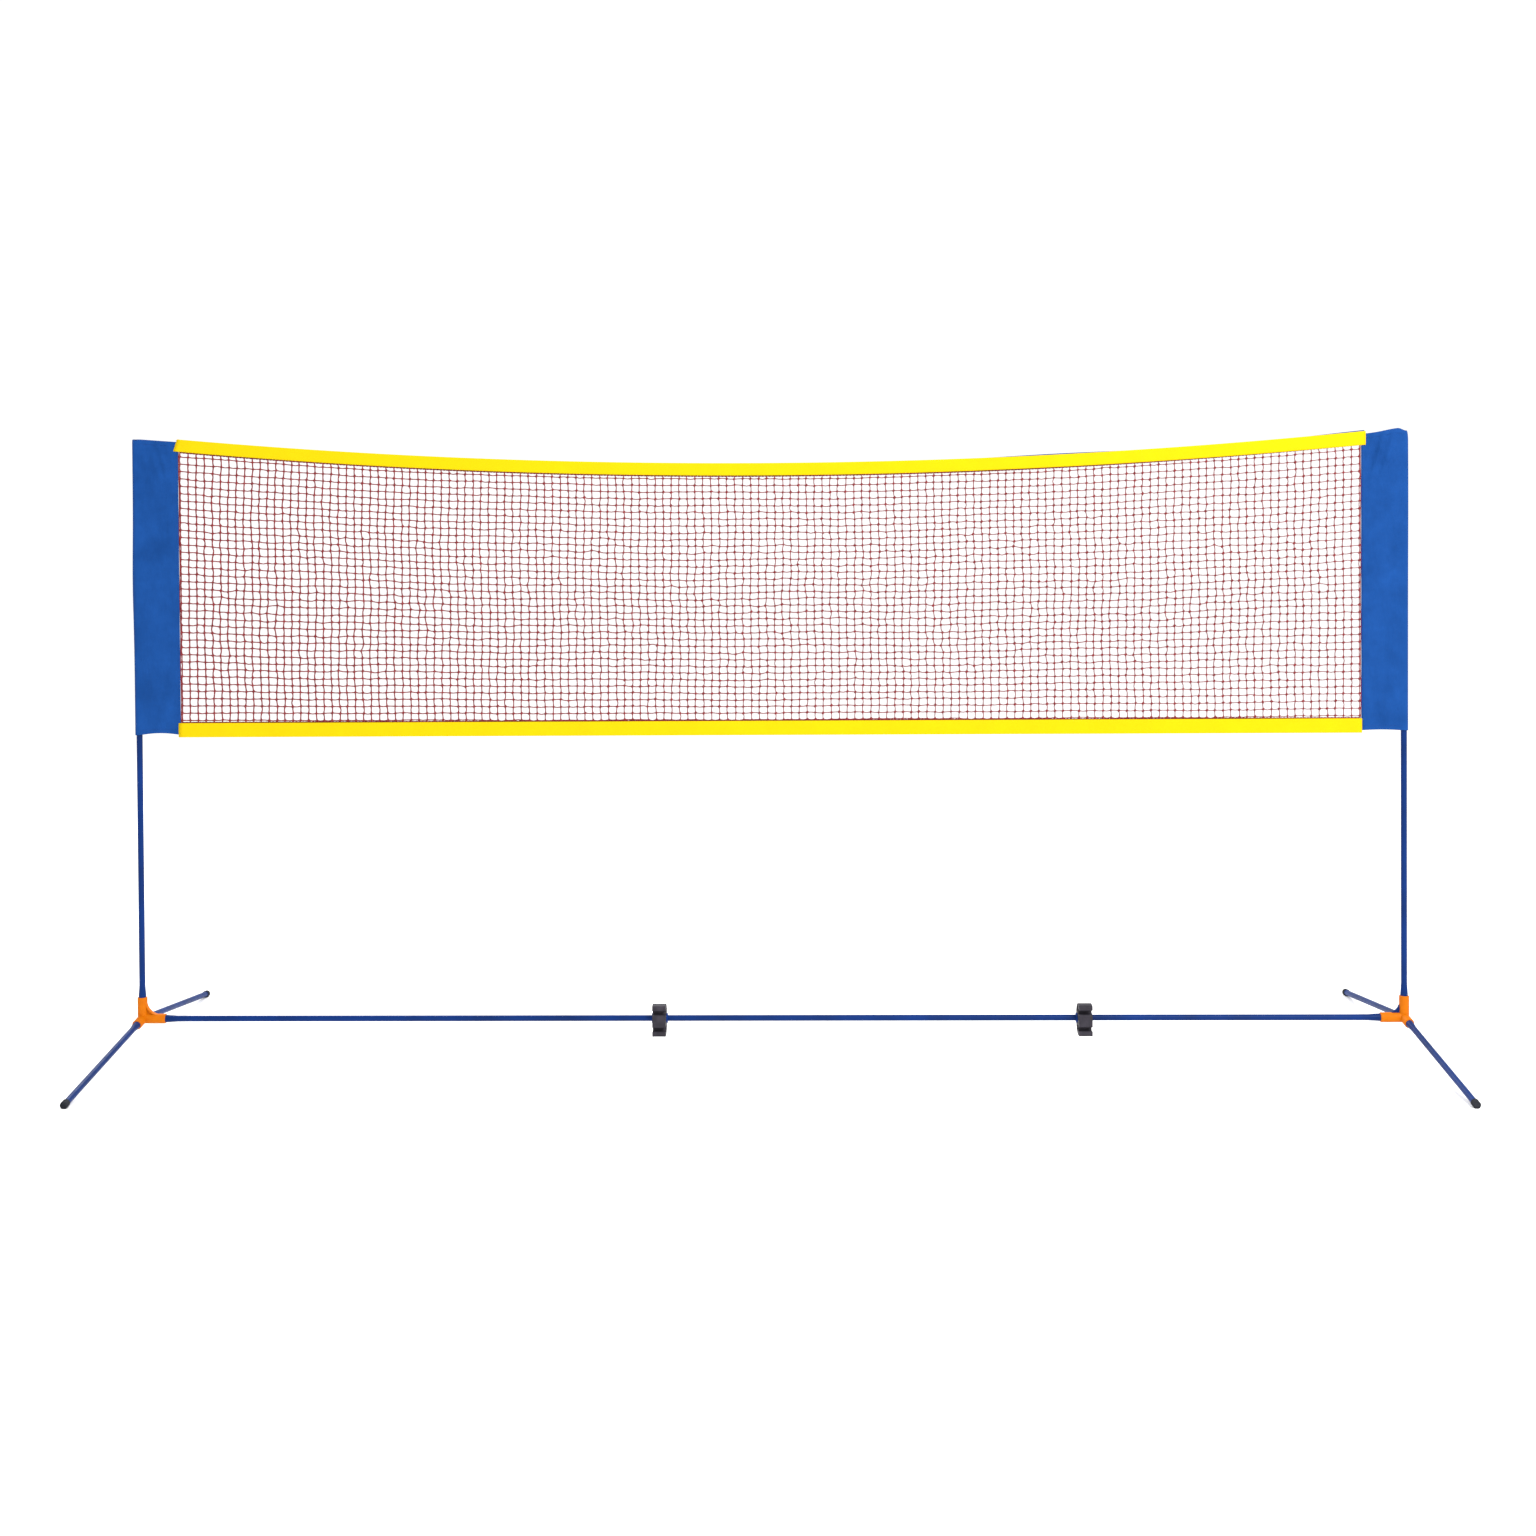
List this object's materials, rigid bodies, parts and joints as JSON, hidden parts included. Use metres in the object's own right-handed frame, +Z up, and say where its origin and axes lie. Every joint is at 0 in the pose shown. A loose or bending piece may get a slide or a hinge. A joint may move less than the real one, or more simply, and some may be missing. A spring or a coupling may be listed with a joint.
{
  "type": "net on poles",
  "caption": "Free-standing sports net on two slim poles with a low crossbar, splayed feet, moulded corner connectors, storage clips and sleeves over the poles.",
  "frame": {"origin": "centre of the bounding box on the floor, midway between the two poles", "axes": "+X along the crossbar to the right pole, +Y to the rear, +Z up; the front of the storage clips faces -Y"},
  "size_m": [3.2274, 1.0486, 1.55],
  "materials": {
    "pole_blue": "gloss powder coat",
    "connector_orange": "satin moulded",
    "gusset_navy": "satin moulded",
    "clip_black": "satin moulded",
    "bush_blue": "gloss moulded",
    "plug_black": "satin moulded",
    "foot_rubber": "matte",
    "sleeve_blue": "woven",
    "band_yellow": "coated tape",
    "cord_maroon": "twisted cord",
    "cord_white": "twisted cord"
  },
  "bodies": {
    "base": {"left_corner_connector": "connector_orange", "right_corner_connector": "connector_orange", "right_corner_gusset": "gusset_navy", "left_crossbar": "pole_blue", "middle_crossbar": "pole_blue", "right_crossbar": "pole_blue", "left_lower_pole": "pole_blue", "right_lower_pole": "pole_blue"},
    "front_left_foot": {"front_left_leg": "pole_blue", "front_left_foot_cap": "foot_rubber"},
    "rear_left_foot": {"rear_left_leg": "pole_blue", "rear_left_foot_cap": "foot_rubber"},
    "front_right_foot": {"front_right_leg": "pole_blue", "front_right_foot_cap": "foot_rubber"},
    "rear_right_foot": {"rear_right_leg": "pole_blue", "rear_right_foot_cap": "foot_rubber"},
    "left_top": {"left_upper_pole": "pole_blue", "left_pole_plug": "plug_black"},
    "right_top": {"right_upper_pole": "pole_blue", "right_pole_plug": "plug_black"},
    "net": {"net_mesh": "cord_maroon", "top_band": "band_yellow", "bottom_band": "band_yellow", "head_cord": "cord_white", "foot_cord": "cord_white", "left_side_cord": "cord_maroon", "right_side_cord": "cord_maroon", "left_sleeve": "sleeve_blue", "right_sleeve": "sleeve_blue"},
    "left_bush": {"left_clip_bush": "bush_blue"},
    "right_bush": {"right_clip_bush": "bush_blue"},
    "left_clip": {"left_storage_clip": "clip_black"},
    "right_clip": {"right_storage_clip": "clip_black"}
  },
  "joints": [
    {"name": "front_left_leg_pull", "type": "slide", "parent": "base", "child": "front_left_foot", "axis": [0, -0.9925, -0.1219], "range_m": [0, 0.028]},
    {"name": "rear_left_leg_pull", "type": "slide", "parent": "base", "child": "rear_left_foot", "axis": [0, 0.9925, -0.1219], "range_m": [0, 0.028]},
    {"name": "front_right_leg_pull", "type": "slide", "parent": "base", "child": "front_right_foot", "axis": [0, -0.9925, -0.1219], "range_m": [0, 0.028]},
    {"name": "rear_right_leg_pull", "type": "slide", "parent": "base", "child": "rear_right_foot", "axis": [0, 0.9925, -0.1219], "range_m": [0, 0.028]},
    {"name": "left_pole_lift", "type": "slide", "parent": "base", "child": "left_top", "axis": [0, 0, 1], "range_m": [0, 0.058]},
    {"name": "right_pole_lift", "type": "slide", "parent": "base", "child": "right_top", "axis": [0, 0, 1], "range_m": [0, 0.058]},
    {"name": "net_lift", "type": "slide", "parent": "left_top", "child": "net", "axis": [0, 0, 1], "range_m": [0, 0.76]},
    {"name": "left_clip_slide", "type": "slide", "parent": "base", "child": "left_bush", "axis": [1, 0, 0], "range_m": [-1.18, 0.5]},
    {"name": "right_clip_slide", "type": "slide", "parent": "base", "child": "right_bush", "axis": [1, 0, 0], "range_m": [-0.5, 0.67]},
    {"name": "left_clip_swivel", "type": "hinge", "parent": "left_bush", "child": "left_clip", "pos_m": [-0.278, 0, 0.072], "axis": [1, 0, 0], "continuous": true},
    {"name": "right_clip_swivel", "type": "hinge", "parent": "right_bush", "child": "right_clip", "pos_m": [0.795, 0, 0.072], "axis": [1, 0, 0], "continuous": true}
  ],
  "couplings": [
    {"joint": "right_pole_lift", "follows": "left_pole_lift", "ratio": 1}
  ]
}
